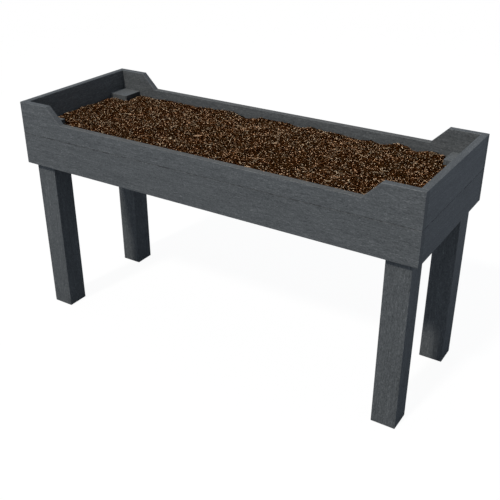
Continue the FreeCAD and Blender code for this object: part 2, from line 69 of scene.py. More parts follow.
class Graph:
    """A short way to write node trees: every call returns an output socket unless it says node."""

    def __init__(self, tree):
        self.tree = tree

    def node(self, kind, inputs=None, **settings):
        made = self.tree.nodes.new(kind)
        for key, value in settings.items():
            setattr(made, key, value)
        for key, value in (inputs or {}).items():
            self.feed(made.inputs[key], value)
        return made

    def feed(self, socket, value):
        if isinstance(value, bpy.types.NodeSocket):
            self.tree.links.new(value, socket)
        else:
            socket.default_value = value

    def math(self, operation, a, b=None, c=None, clamp=False):
        made = self.node("ShaderNodeMath", operation=operation, use_clamp=clamp)
        for socket, value in zip(made.inputs, (a, b, c)):
            if value is not None:
                self.feed(socket, value)
        return made.outputs[0]

    def vector(self, operation, a, b=None):
        made = self.node("ShaderNodeVectorMath", operation=operation)
        self.feed(made.inputs[0], a)
        if b is not None:
            self.feed(made.inputs[1], b)
        return made.outputs["Value" if operation in ("LENGTH", "DISTANCE", "DOT_PRODUCT") else "Vector"]

    def noise(self, vector, scale=1.0, detail=2.0, rough=0.5, distortion=0.0, color=False):
        made = self.node(
            "ShaderNodeTexNoise",
            {"Vector": vector, "Scale": scale, "Detail": detail, "Roughness": rough, "Distortion": distortion},
            noise_dimensions="3D",
        )
        return made.outputs[1 if color else 0]

    def voronoi(self, vector, scale=1.0, feature="F1", randomness=1.0):
        return self.node(
            "ShaderNodeTexVoronoi",
            {"Vector": vector, "Scale": scale, "Randomness": randomness},
            voronoi_dimensions="3D",
            feature=feature,
        )

    def split(self, vector):
        return self.node("ShaderNodeSeparateXYZ", {0: vector}).outputs

    def join(self, x, y, z):
        made = self.node("ShaderNodeCombineXYZ")
        for socket, value in zip(made.inputs, (x, y, z)):
            self.feed(socket, value)
        return made.outputs[0]

    def remap(self, value, low, high, to_low=0.0, to_high=1.0, smooth=True):
        made = self.node("ShaderNodeMapRange", interpolation_type="SMOOTHSTEP" if smooth else "LINEAR", clamp=True)
        for index, each in enumerate((value, low, high, to_low, to_high)):
            self.feed(made.inputs[index], each)
        return made.outputs[0]

    def ramp(self, factor, stops, interpolation="LINEAR"):
        made = self.node("ShaderNodeValToRGB", {0: factor})
        ramp = made.color_ramp
        ramp.interpolation = interpolation
        while len(ramp.elements) > 1:
            ramp.elements.remove(ramp.elements[-1])
        ramp.elements[0].position = stops[0][0]
        ramp.elements[0].color = (*stops[0][1], 1.0)
        for position, color in stops[1:]:
            ramp.elements.new(position).color = (*color, 1.0)
        return made.outputs[0]

    def mix(self, factor, a, b, blend="MIX"):
        made = self.node("ShaderNodeMix", data_type="RGBA", blend_type=blend)
        self.feed(made.inputs[0], factor)
        self.feed(made.inputs[6], (*a, 1.0) if isinstance(a, tuple) else a)
        self.feed(made.inputs[7], (*b, 1.0) if isinstance(b, tuple) else b)
        return made.outputs[2]

    def scale_color(self, color, factor):
        made = self.node("ShaderNodeVectorMath", operation="SCALE")
        self.feed(made.inputs[0], color)
        self.feed(made.inputs["Scale"], factor)
        return made.outputs[0]

    def bump(self, height, strength, distance, normal=None):
        made = self.node("ShaderNodeBump", {"Height": height, "Strength": strength, "Distance": distance})
        if normal is not None:
            self.feed(made.inputs["Normal"], normal)
        return made.outputs[0]


def material(name):
    made = bpy.data.materials.new(name)
    made.use_nodes = True
    made.node_tree.nodes.clear()
    graph = Graph(made.node_tree)
    shader = graph.node("ShaderNodeBsdfPrincipled")
    output = graph.node("ShaderNodeOutputMaterial", {"Surface": shader.outputs[0]})
    output.target = "ALL"
    return made, graph, shader


def group(name, inputs, outputs):
    tree = bpy.data.node_groups.new(name, "ShaderNodeTree")
    for each, kind in inputs:
        tree.interface.new_socket(name=each, in_out="INPUT", socket_type=kind)
    for each, kind in outputs:
        tree.interface.new_socket(name=each, in_out="OUTPUT", socket_type=kind)
    graph = Graph(tree)
    return tree, graph, graph.node("NodeGroupInput").outputs, graph.node("NodeGroupOutput").inputs


# ---------------------------------------------------------------- anthracite lumber

# The grain runs along the group's own X. Along is the point with its axes turned that way, Facing the normal turned
# the same way, Place and Raw the same two in the row frame.


def lumber_group():
    tree, g, given, out = group(
        "anthracite_lumber",
        [
            ("Along", "NodeSocketVector"),
            ("Facing", "NodeSocketVector"),
            ("Place", "NodeSocketVector"),
            ("Raw", "NodeSocketVector"),
            ("Tone", "NodeSocketFloat"),
            ("End", "NodeSocketFloat"),
            ("Painted shade", "NodeSocketFloat"),
        ],
        [("Color", "NodeSocketColor"), ("Roughness", "NodeSocketFloat"), ("Normal", "NodeSocketVector")],
    )
    along = given["Along"]
    half = (0.5, 0.5, 0.5)

    drift = g.noise(g.vector("MULTIPLY", along, (2.4, 14.0, 14.0)), detail=3, color=True)
    drift = g.vector("MULTIPLY", g.vector("SUBTRACT", drift, half), (0.0, 0.006, 0.006))
    wavy = g.vector("ADD", along, drift)

    long_streaks = g.noise(g.vector("MULTIPLY", wavy, (6.0, 120.0, 120.0)), detail=2, rough=0.5)
    streaks = g.noise(g.vector("MULTIPLY", wavy, (40.0, 200.0, 200.0)), detail=3, rough=0.6)
    fine = g.noise(g.vector("MULTIPLY", wavy, (120.0, 520.0, 520.0)), detail=3, rough=0.6)
    hair = g.noise(g.vector("MULTIPLY", wavy, (220.0, 1500.0, 1500.0)), detail=2, rough=0.55)
    mottle = g.noise(g.vector("MULTIPLY", along, (170.0, 260.0, 260.0)), detail=3, rough=0.65)
    broad = g.noise(g.vector("MULTIPLY", along, (5.0, 14.0, 14.0)), detail=3)

    # growth-ring figure: long slanting lines that open into arches
    bend = g.noise(g.vector("MULTIPLY", along, (1.7, 7.0, 7.0)), detail=2, rough=0.4)
    x, y, z = g.split(wavy)
    ring = g.math("SQRT", g.math("ADD", g.math("POWER", y, 2.0), g.math("POWER", z, 2.0)))
    ring = g.math("ADD", ring, g.math("MULTIPLY", bend, 0.09))
    figure = g.math("ABSOLUTE", g.math("SINE", g.math("MULTIPLY", ring, math.pi / 0.0135)))
    figure = g.remap(figure, 0.0, 0.34, 1.0, 0.0)
    figure = g.math("MULTIPLY", figure, g.remap(broad, 0.42, 0.62))
    figure = g.math("MULTIPLY", figure, g.remap(streaks, 0.40, 0.58, 0.10, 1.0))

    # sparse long dashes where the brushing has dug in
    dash = g.noise(g.vector("MULTIPLY", wavy, (24.0, 300.0, 300.0)), detail=2, rough=0.5)
    dash = g.math("MULTIPLY", g.remap(dash, 0.62, 0.74), g.remap(mottle, 0.38, 0.6))

    # sparse flecks, light and dark
    spots = g.voronoi(g.vector("MULTIPLY", along, (75.0, 190.0, 190.0)))
    lot = g.split(spots.outputs["Color"])
    fleck = g.remap(spots.outputs["Distance"], 0.16, 0.30, 1.0, 0.0)
    light_fleck = g.math("MULTIPLY", fleck, g.math("GREATER_THAN", lot[0], 0.972))
    dark_fleck = g.math("MULTIPLY", fleck, g.math("LESS_THAN", lot[0], 0.028))

    # a few small tight knots
    knots = g.voronoi(g.vector("MULTIPLY", along, (2.6, 9.0, 9.0)), randomness=0.9)
    knot_lot = g.split(knots.outputs["Color"])
    knot = g.remap(g.math("ADD", knots.outputs["Distance"], g.math("MULTIPLY", mottle, 0.05)), 0.045, 0.10, 1.0, 0.0)
    knot = g.math("MULTIPLY", knot, g.math("GREATER_THAN", knot_lot[1], 0.72))

    def centred(value, gain):
        return g.math("MULTIPLY", g.math("SUBTRACT", value, 0.5), gain)

    tone = g.math("ADD", centred(streaks, 0.88), centred(fine, 1.25))
    tone = g.math("ADD", tone, centred(long_streaks, 0.46))
    tone = g.math("ADD", tone, centred(hair, 0.75))
    tone = g.math("ADD", tone, centred(mottle, 1.15))
    tone = g.math("ADD", tone, centred(broad, 0.30))
    tone = g.math("SUBTRACT", tone, g.math("MULTIPLY", figure, 0.22))
    tone = g.math("SUBTRACT", tone, g.math("MULTIPLY", dash, 0.30))
    tone = g.math("SUBTRACT", tone, g.math("MULTIPLY", knot, 0.30))
    tone = g.math("ADD", tone, g.math("MULTIPLY", light_fleck, 0.50))
    tone = g.math("SUBTRACT", tone, g.math("MULTIPLY", dark_fleck, 0.42))
    tone = g.math("ADD", g.math("ADD", tone, 0.5), given["Tone"])

    # arrises lighter, as rubbed wear and a painted highlight; cut ends darker with saw marks, as end grain and painted
    # shade, and the posts' ends painted lighter as painted light; grime in the seam between the two courses
    fx, fy, fz = g.split(g.vector("ABSOLUTE", given["Facing"]))
    most = g.math("MAXIMUM", g.math("MAXIMUM", fx, fy), fz)
    edge = g.remap(most, 0.80, 0.95, 1.0, 0.0)
    px, py, pz = g.split(given["Place"])
    rx, ry, rz = g.split(g.vector("ABSOLUTE", given["Raw"]))
    reach = g.math("ABSOLUTE", px)
    slope = g.math("MULTIPLY", g.math("GREATER_THAN", reach, 0.61), g.math("LESS_THAN", reach, 0.70))
    slope = g.math("MULTIPLY", slope, g.math("GREATER_THAN", pz, 0.83))
    slope = g.math("MULTIPLY", slope, g.math("LESS_THAN", ry, 0.3))
    edge = g.math("MULTIPLY", edge, g.math("SUBTRACT", 1.0, slope))
    seam = g.math("ABSOLUTE", g.math("SUBTRACT", pz, 0.775))
    seam = g.remap(seam, 0.0008, 0.0030, 1.0, 0.0)
    # painted highlight along the arrises, mixed with rubbed wear, broken up by noise
    edge_wear_and_highlight_breakup = g.remap(g.noise(g.vector("MULTIPLY", along, (16.0, 60.0, 60.0)), detail=3), 0.36, 0.62)
    edge_wear_and_painted_highlight = g.math("MULTIPLY", g.math("MULTIPLY", edge, g.math("SUBTRACT", 1.0, seam)), g.remap(edge_wear_and_highlight_breakup, 0.0, 1.0, 0.10, 0.34))
    end = g.remap(fx, 0.86, 0.97)
    sawn = g.noise(g.vector("MULTIPLY", along, (60.0, 900.0, 60.0)), detail=2)
    patchy = g.remap(g.noise(g.vector("MULTIPLY", along, (42.0, 60.0, 60.0)), detail=3, rough=0.7), 0.40, 0.60, 0.05, 1.35)

    color = g.ramp(
        tone,
        [
            (0.0, (0.036, 0.0395, 0.042)),
            (0.30, (0.064, 0.0695, 0.0725)),
            (0.50, (0.083, 0.0895, 0.0930)),
            (0.70, (0.101, 0.1085, 0.1125)),
            (1.0, (0.168, 0.176, 0.180)),
        ],
    )
    gain = g.math("ADD", 1.0, edge_wear_and_painted_highlight)
    # board ends darker as end grain and painted shade; a negative End paints the post tops and feet lighter, as
    # painted light
    end_grain_and_painted_light = g.math("MULTIPLY", g.remap(sawn, 0.3, 0.7, 0.5, 1.4), given["End"])
    gain = g.math("SUBTRACT", gain, g.math("MULTIPLY", end, end_grain_and_painted_light))
    gain = g.math("SUBTRACT", gain, g.math("MULTIPLY", g.math("MULTIPLY", seam, patchy), 0.52))
    # painted shade on the sides of the posts that face along the trough, just where they stand out of the compost
    line = g.math("MULTIPLY", g.remap(pz, 0.770, 0.785), g.remap(pz, 0.8165, 0.8185, 1.0, 0.0))
    post_side_painted_shade = g.math("MULTIPLY", g.math("MULTIPLY", line, g.remap(rx, 0.55, 0.8)), given["Painted shade"])
    gain = g.math("MULTIPLY", gain, g.math("SUBTRACT", 1.0, g.math("MULTIPLY", post_side_painted_shade, 0.55)))
    color = g.scale_color(color, gain)
    # a little compost dust on the low rails of the dips
    dusty = g.math("MULTIPLY", g.remap(rz, 0.7, 0.9), g.math("LESS_THAN", g.math("ABSOLUTE", g.math("SUBTRACT", pz, 0.8375)), 0.003))
    color = g.mix(dusty, color, g.mix(1.0, color, (1.01, 0.955, 0.89), "MULTIPLY"))
    g.feed(out["Color"], color)

    roughness = g.math("ADD", 0.62, centred(streaks, 0.18))
    roughness = g.math("SUBTRACT", g.math("ADD", roughness, centred(mottle, 0.14)), g.math("MULTIPLY", edge, 0.08))
    g.feed(out["Roughness"], roughness)

    height = g.math("ADD", g.math("MULTIPLY", streaks, 0.9), g.math("MULTIPLY", fine, 0.55))
    height = g.math("ADD", height, g.math("MULTIPLY", hair, 0.18))
    height = g.math("SUBTRACT", height, g.math("MULTIPLY", figure, 0.22))
    height = g.math("SUBTRACT", height, g.math("MULTIPLY", dash, 0.45))
    height = g.math("SUBTRACT", height, g.math("MULTIPLY", knot, 0.30))
    height = g.math("SUBTRACT", height, g.math("MULTIPLY", dark_fleck, 0.30))
    cut = g.math("ADD", g.math("MULTIPLY", sawn, 0.22), g.math("MULTIPLY", mottle, 0.20))
    height = g.math(
        "ADD",
        g.math("MULTIPLY", height, g.math("SUBTRACT", 1.0, end)),
        g.math("MULTIPLY", cut, end),
    )
    g.feed(out["Normal"], g.bump(height, 0.42, 0.0009))
    return tree


LUMBER = lumber_group()
TURNS = {"X": (0, 1, 2), "Y": (1, 0, 2), "Z": (2, 0, 1)}


def lumber(name, grain, offset, tone, end, post_side_painted_shade):
    made, g, shader = material(name)
    where = g.node("ShaderNodeTexCoord")
    place, raw = where.outputs["Object"], where.outputs["Normal"]
    parts, facing = g.split(place), g.split(raw)
    turn = TURNS[grain]
    along = g.vector("ADD", g.join(*(parts[i] for i in turn)), offset)
    wood = g.node("ShaderNodeGroup", node_tree=LUMBER)
    g.feed(wood.inputs["Along"], along)
    g.feed(wood.inputs["Facing"], g.join(*(facing[i] for i in turn)))
    g.feed(wood.inputs["Place"], place)
    g.feed(wood.inputs["Raw"], raw)
    g.feed(wood.inputs["Tone"], tone)
    g.feed(wood.inputs["End"], end)
    g.feed(wood.inputs["Painted shade"], post_side_painted_shade)
    g.feed(shader.inputs["Base Color"], wood.outputs["Color"])
    g.feed(shader.inputs["Roughness"], wood.outputs["Roughness"])
    g.feed(shader.inputs["Normal"], wood.outputs["Normal"])
    shader.inputs["IOR"].default_value = 1.47
    shader.inputs["Specular IOR Level"].default_value = 0.42
    return made


def steel(name):
    made, g, shader = material(name)
    place = g.node("ShaderNodeTexCoord").outputs["Object"]
    scratch = g.noise(g.vector("MULTIPLY", place, (900.0, 900.0, 2600.0)), detail=3, rough=0.6)
    cloud = g.noise(place, scale=140.0, detail=3)
    color = g.ramp(
        g.math("ADD", g.math("MULTIPLY", scratch, 0.5), g.math("MULTIPLY", cloud, 0.5)),
        [(0.25, (0.36, 0.36, 0.35)), (0.5, (0.52, 0.52, 0.50)), (0.75, (0.66, 0.66, 0.65))],
    )
    g.feed(shader.inputs["Base Color"], color)
    g.feed(shader.inputs["Roughness"], g.remap(cloud, 0.3, 0.7, 0.30, 0.46))
    shader.inputs["Metallic"].default_value = 1.0
    return made


def grain_of(name):
    if name.startswith("leg_") or name.endswith("_cleat"):
        return "Z"
    if name.startswith(("left_", "right_", "base_slat")):
        return "Y"
    return "X"


dice = random.Random(4117)
screw_steel = steel("screw_steel")
for name in sorted(nodes):
    body = nodes[name]
    if name in ("compost", "liner"):
        continue
    if name.endswith("_screws"):
        finish = screw_steel
    else:
        offset = (dice.uniform(-9, 9), dice.uniform(0.05, 0.09), dice.uniform(0.03, 0.07))
        shift = dice.uniform(-0.03, 0.03)
        # the noise repeats nowhere, so each piece also gets its own far-away part of it along the grain
        leg = name.startswith("leg_")
        # post ends are painted lighter (painted light on the post tops) and board ends darker (end grain and painted
        # shade); posts also get painted shade on their sides just above the compost
        finish = lumber("lumber_" + name, grain_of(name), offset, shift, -0.42 if leg else 0.20, 1.0 if leg else 0.0)
    for slot in body.material_slots:
        slot.material = finish

# ---------------------------------------------------------------- compost

compost_low, compost_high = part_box("compost")
post_low, post_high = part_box("leg_back_right")
cleat_low, cleat_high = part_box("back_cleat")
PLAY = 0.0006
BED_X, BED_Y = compost_high.x, compost_high.y
POST_X, POST_Y = post_low.x - PLAY, post_low.y - PLAY
CLEAT_X, CLEAT_Y = cleat_high.x + PLAY, cleat_low.y - PLAY
BED_FLOOR = compost_low.z
LEDGE = cleat_high.z + PLAY
STEP = 0.0031


def lines(marks):
    out = [marks[0]]
    for a, b in zip(marks, marks[1:]):
        count = max(1, round((b - a) / STEP))
        out.extend(a + (b - a) * i / count for i in range(1, count + 1))
    return np.array(out)


XS = lines([-BED_X, -POST_X, -CLEAT_X, CLEAT_X, POST_X, BED_X])
YS = lines([-BED_Y, -CLEAT_Y, -POST_Y, POST_Y, CLEAT_Y, BED_Y])


def band(rng, shape, low, high):
    """Random relief whose wavelengths lie between low and high metres, with unit deviation."""
    spectrum = np.fft.rfft2(rng.standard_normal(shape))
    fy = np.fft.fftfreq(shape[0], STEP)[:, None]
    fx = np.fft.rfftfreq(shape[1], STEP)[None, :]
    f = np.sqrt(fx * fx + fy * fy) + 1e-9
    middle, width = math.log(1 / math.sqrt(low * high)), max(0.12, math.log(high / low) / 2)
    spectrum *= np.exp(-(((np.log(f) - middle) / width) ** 2)) / f
    made = np.fft.irfft2(spectrum, s=shape)
    made -= made.mean()
    return made / made.std()


def relief():
    rng = np.random.default_rng(20611)
    shape = (len(YS), len(XS))
    pad = (shape[0] + 60, shape[1] + 60)
    cut = (slice(30, 30 + shape[0]), slice(30, 30 + shape[1]))
    swell = band(rng, pad, 0.26, 0.46)[cut]
    hump = band(rng, pad, 0.085, 0.15)[cut]
    clod = band(rng, pad, 0.030, 0.055)[cut]
    lump = band(rng, pad, 0.012, 0.022)[cut]
    grit = band(rng, pad, 0.0062, 0.0095)[cut]
    gx, gy = XS[None, :], YS[:, None]
    crown = (1 - (gx / BED_X) ** 2) * (1 - (gy / BED_Y) ** 2)
    # raked level in the middle, left in small heaps along the back wall, ragged at all the edges
    wall = np.minimum(BED_X - np.abs(gx), BED_Y - np.abs(gy))
    back = np.exp(-(((BED_Y - gy) / 0.050) ** 2))
    edge = np.exp(-((wall / 0.030) ** 2))
    z = 0.8064 + 0.0085 * crown + 0.0016 * swell + (0.0015 + 0.0022 * back) * hump + (0.0003 + 0.0011 * edge) * clod
    z += 0.0003 * lump + 0.0014 * grit
    # it has settled along the walls and round the posts
    z -= 0.0080 * np.exp(-((wall / 0.017) ** 2))
    post = np.hypot(np.maximum(POST_X - np.abs(gx), 0), np.maximum(POST_Y - np.abs(gy), 0))
    z -= 0.0060 * np.exp(-((post / 0.030) ** 2))
    over = np.exp(-((np.abs(gx) / 0.05) ** 4)) * np.exp(-(((BED_Y - np.abs(gy)) / 0.05) ** 4))
    z = z * (1 - over) + np.maximum(z, LEDGE + 0.0045) * over
    return np.clip(z, 0.792, 0.829)


RELIEF = relief()


def height_at(x, y):
    i = np.clip(np.searchsorted(XS, x) - 1, 0, len(XS) - 2)
    j = np.clip(np.searchsorted(YS, y) - 1, 0, len(YS) - 2)
    u = np.clip((x - XS[i]) / (XS[i + 1] - XS[i]), 0, 1)
    v = np.clip((y - YS[j]) / (YS[j + 1] - YS[j]), 0, 1)
    low = RELIEF[j, i] * (1 - u) + RELIEF[j, i + 1] * u
    high = RELIEF[j + 1, i] * (1 - u) + RELIEF[j + 1, i + 1] * u
    return low * (1 - v) + high * v


def mesh_object(name, vertices, faces, smooth=False):
    mesh = bpy.data.meshes.new(name)
    mesh.from_pydata(vertices, [], faces)
    if smooth:
        mesh.polygons.foreach_set("use_smooth", [True] * len(mesh.polygons))
    mesh.update()
    made = bpy.data.objects.new(name, mesh)
    scene.collection.objects.link(made)
    return made


def compost_bed():
    """A closed body: the crumbly top, walls that go round the posts, and a floor with a pocket over each cleat."""
    nx, ny = len(XS), len(YS)
    mx, my = (XS[:-1] + XS[1:]) / 2, (YS[:-1] + YS[1:]) / 2
    keep = ~((np.abs(mx)[None, :] > POST_X) & (np.abs(my)[:, None] > POST_Y))
    used = np.zeros((ny, nx), bool)
    for dj in (0, 1):
        for di in (0, 1):
            used[dj : ny - 1 + dj, di : nx - 1 + di] |= keep
    index = -np.ones((ny, nx), int)
    index[used] = np.arange(used.sum())
    gx, gy = np.meshgrid(XS, YS)
    vertices = np.stack([gx[used], gy[used], RELIEF[used]], 1).tolist()
    faces = []
    jj, ii = np.nonzero(keep)
    quads = np.stack([index[jj, ii], index[jj, ii + 1], index[jj + 1, ii + 1], index[jj + 1, ii]], 1)
    faces.extend(quads.tolist())

    # the outline of the top, as directed edges that run with the faces
    edges = {}
    for quad in quads.tolist():
        for a, b in zip(quad, quad[1:] + quad[:1]):
            if (b, a) in edges:
                del edges[(b, a)]
            else:
                edges[(a, b)] = True
    follow = dict(edges.keys())
    start = next(iter(follow))
    loop = [start]
    while follow[loop[-1]] != start:
        loop.append(follow[loop[-1]])

    def over_cleat(v):
        return abs(vertices[v][0]) <= CLEAT_X + 1e-6 and abs(abs(vertices[v][1]) - BED_Y) < 1e-6

    # each top outline vertex has its foot straight below, on the bed floor or on the ledge over a cleat
    foot = {}
    for v in loop:
        x, y, _ = vertices[v]
        foot[v] = len(vertices)
        vertices.append([x, y, LEDGE if over_cleat(v) else BED_FLOOR])
    corner = {}

    def at(x, y, z):
        key = (round(x, 7), round(y, 7), round(z, 7))
        if key not in corner:
            corner[key] = len(vertices)
            vertices.append([x, y, z])
        return corner[key]

    floor_ring = []
    ledges = {1: [], -1: []}
    for a, b in zip(loop, loop[1:] + loop[:1]):
        on_a, on_b = over_cleat(a), over_cleat(b)
        side = 1 if vertices[a][1] > 0 else -1
        if on_a and on_b:
            faces.append([b, a, foot[a], foot[b]])
            if not ledges[side]:
                ledges[side].append(foot[a])
            ledges[side].append(foot[b])
        elif not on_a and on_b:
            # into the cleat: the wall's foot drops from the ledge to the floor at this vertex
            deep = at(vertices[b][0], vertices[b][1], BED_FLOOR)
            faces.append([b, a, foot[a], deep, foot[b]])
            inner = at(vertices[b][0], side * CLEAT_Y, BED_FLOOR)
            far = at(-vertices[b][0], side * CLEAT_Y, BED_FLOOR)
            floor_ring.extend([foot[a], deep, inner, far])
        elif on_a and not on_b:
            deep = at(vertices[a][0], vertices[a][1], BED_FLOOR)
            faces.append([b, a, foot[a], deep, foot[b]])
            floor_ring.append(deep)
        else:
            faces.append([b, a, foot[a], foot[b]])
            floor_ring.append(foot[a])
    for side, row in ledges.items():
        first, last = vertices[row[0]], vertices[row[-1]]
        near = at(first[0], side * CLEAT_Y, LEDGE)
        away = at(last[0], side * CLEAT_Y, LEDGE)
        faces.append(list(reversed(row)) + [near, away])
        deep_first, deep_last = at(first[0], first[1], BED_FLOOR), at(last[0], last[1], BED_FLOOR)
        low_near, low_away = at(first[0], side * CLEAT_Y, BED_FLOOR), at(last[0], side * CLEAT_Y, BED_FLOOR)
        faces.append([row[0], deep_first, low_near, near])
        faces.append([near, low_near, low_away, away])
        faces.append([away, low_away, deep_last, row[-1]])
    faces.append(list(reversed(floor_ring)))
    made = mesh_object("compost_bed", vertices, faces)
    bm = bmesh.new()
    bm.from_mesh(made.data)
    bmesh.ops.recalc_face_normals(bm, faces=bm.faces)
    bmesh.ops.triangulate(bm, faces=[f for f in bm.faces if len(f.verts) > 4])
    for face in bm.faces:
        face.smooth = face.normal.z > 0.2
    bm.to_mesh(made.data)
    bm.free()
    return made


def solid(kind):
    """Vertices and faces of the shapes that are scattered, each about one unit long."""
    bm = bmesh.new()
    if kind in ("lump", "crumb"):
        bmesh.ops.create_icosphere(bm, subdivisions=2 if kind == "lump" else 1, radius=0.5)
    elif kind == "grit":
        tips = [bm.verts.new(c) for c in ((0.5, 0, 0), (0, 0.5, 0), (-0.5, 0, 0), (0, -0.5, 0), (0, 0, 0.5), (0, 0, -0.5))]
        for k in range(4):
            bm.faces.new((tips[k], tips[(k + 1) % 4], tips[4]))
            bm.faces.new((tips[(k + 1) % 4], tips[k], tips[5]))
        bm.verts.index_update()
    verts = [tuple(v.co) for v in bm.verts]
    faces = [[v.index for v in f.verts] for f in bm.faces]
    bm.free()
    if kind in ("chip", "shred", "fibre"):
        sides, rings = {"chip": (4, 3), "shred": (4, 2), "fibre": (3, 5)}[kind]
        verts, faces = [], []
        for r in range(rings):
            t = r / (rings - 1)
            taper = {"chip": 0.55 + 1.8 * t * (1 - t), "shred": 1.0 - 0.45 * t, "fibre": 0.6 + 1.6 * t * (1 - t)}[kind]
            for s in range(sides):
                a = 2 * math.pi * (s + 0.5) / sides
                verts.append((t - 0.5, math.cos(a) * taper * 0.5, math.sin(a) * taper * 0.5))
        for r in range(rings - 1):
            for s in range(sides):
                a, b = r * sides + s, r * sides + (s + 1) % sides
                faces.append([a, b, b + sides, a + sides])
        faces.append([s for s in range(sides)][::-1])
        faces.append([(rings - 1) * sides + s for s in range(sides)])
    return np.array(verts), faces


def dealt(rng, shades, row, column):
    """The same shades, dealt out so that each two by two group of neighbours gets one from each quarter of the range."""
    group = (row // 2) * (column.max() // 2 + 1) + column // 2
    order = rng.permuted(np.tile(np.arange(4), (group.max() + 1, 1)), axis=1)
    quarter = order[group, (row % 2) * 2 + column % 2]
    out = np.empty(len(shades))
    for k, hand in enumerate(np.array_split(np.sort(shades), 4)):
        mine = np.nonzero(quarter == k)[0]
        out[mine] = rng.permutation(hand)[np.arange(len(mine)) % len(hand)]
    return out


def scatter(name, kind, count, seed, length, slim, flat, tilt, sink, jitter, curl, tone, smooth):
    """Many small bodies lying on the bed, as one object. tone is stored on the vertices for the material."""
    rng = np.random.default_rng(seed)
    verts, faces = solid(kind)
    size = length[0] + (length[1] - length[0]) * rng.random(count) ** 2.2
    margin = size * 0.72 + 0.0012
    if kind != "fibre":
        # close packed, so that a dark gap runs round nearly every one
        pitch = math.sqrt(4 * BED_X * BED_Y / count)
        rows, columns = int(2 * BED_Y / pitch), int(2 * BED_X / pitch)
        j, i = np.divmod(np.arange(rows * columns), columns)
        size, margin, count = size[: len(j)], margin[: len(j)], len(j)
        x = ((i + 0.5 * (j % 2) + 0.25 + rng.uniform(-0.3, 0.3, count)) / columns * 2 - 1) * (BED_X - margin)
        y = ((j + 0.5 + rng.uniform(-0.3, 0.3, count)) / rows * 2 - 1) * (BED_Y - margin)
    else:
        x = rng.uniform(-1, 1, count) * (BED_X - margin)
        y = rng.uniform(-1, 1, count) * (BED_Y - margin)
    inside = ~((np.abs(x) > POST_X - margin) & (np.abs(y) > POST_Y - margin))
    x, y, size = x[inside], y[inside], size[inside]
    count = len(x)
    # mostly dark bits, some mid brown, a few pale and larger: tone = (middle, spread, how far the palest few go up)
    shades = np.clip(rng.normal(tone[0], tone[1], count) + tone[2] * rng.random(count) ** 9, 0, 1)
    if kind != "fibre":
        shades = dealt(rng, shades, j[inside], i[inside])
    hue = rng.random(count)
    if kind in ("grit", "shred", "chip"):
        size = size * (1 + 0.30 * np.clip((shades - 0.8) / 0.2, 0, 1))
    width = size * rng.uniform(slim[0], slim[1], count)
    thick = width * rng.uniform(flat[0], flat[1], count)
    spin = rng.uniform(0, 2 * math.pi, count)
    pitch = rng.normal(0, tilt, count)
    roll = rng.normal(0, tilt * 1.5, count) if kind in ("chip", "shred", "fibre") else rng.uniform(0, 2 * math.pi, count)
    body = np.repeat(verts[None], count, 0)
    body = body + rng.normal(0, jitter, body.shape)
    body = body * np.stack([size, width, thick], 1)[:, None, :]
    along = verts[:, 0][None, :]
    body[:, :, 1] += (rng.normal(0, curl, count) * size)[:, None] * (4 * along**2 - 0.33)
    body[:, :, 2] += (rng.normal(0, curl * 0.35, count) * size)[:, None] * (4 * along**2 - 0.33)
    cr, sr = np.cos(roll)[:, None], np.sin(roll)[:, None]
    by, bz = body[:, :, 1] * cr - body[:, :, 2] * sr, body[:, :, 1] * sr + body[:, :, 2] * cr
    cp, sp = np.cos(pitch)[:, None], np.sin(pitch)[:, None]
    bx, bz = body[:, :, 0] * cp + bz * sp, bz * cp - body[:, :, 0] * sp
    cs, ss = np.cos(spin)[:, None], np.sin(spin)[:, None]
    wx, wy = bx * cs - by * ss, bx * ss + by * cs
    rest = height_at(x, y) + rng.uniform(sink[0], sink[1], count) * thick
    points = np.stack([wx + x[:, None], wy + y[:, None], bz + rest[:, None]], 2)
    n = len(verts)
    flat_faces = []
    for k in range(count):
        base = k * n
        flat_faces.extend([base + v for v in f] for f in faces)
    made = mesh_object(name, points.reshape(-1, 3).tolist(), flat_faces, smooth)
    for label, values in (("shade", shades), ("hue", hue)):
        layer = made.data.attributes.new(label, "FLOAT", "POINT")
        layer.data.foreach_set("value", np.repeat(values, n).astype(np.float32))
    return made


SOIL = [
    (0.00, (0.0022, 0.0006, 0.0001)),
    (0.20, (0.0100, 0.0032, 0.0006)),
    (0.42, (0.0440, 0.0182, 0.0050)),
    (0.60, (0.0860, 0.0450, 0.0205)),
    (0.80, (0.2100, 0.1380, 0.0840)),
    (1.00, (0.6400, 0.5500, 0.4800)),
]


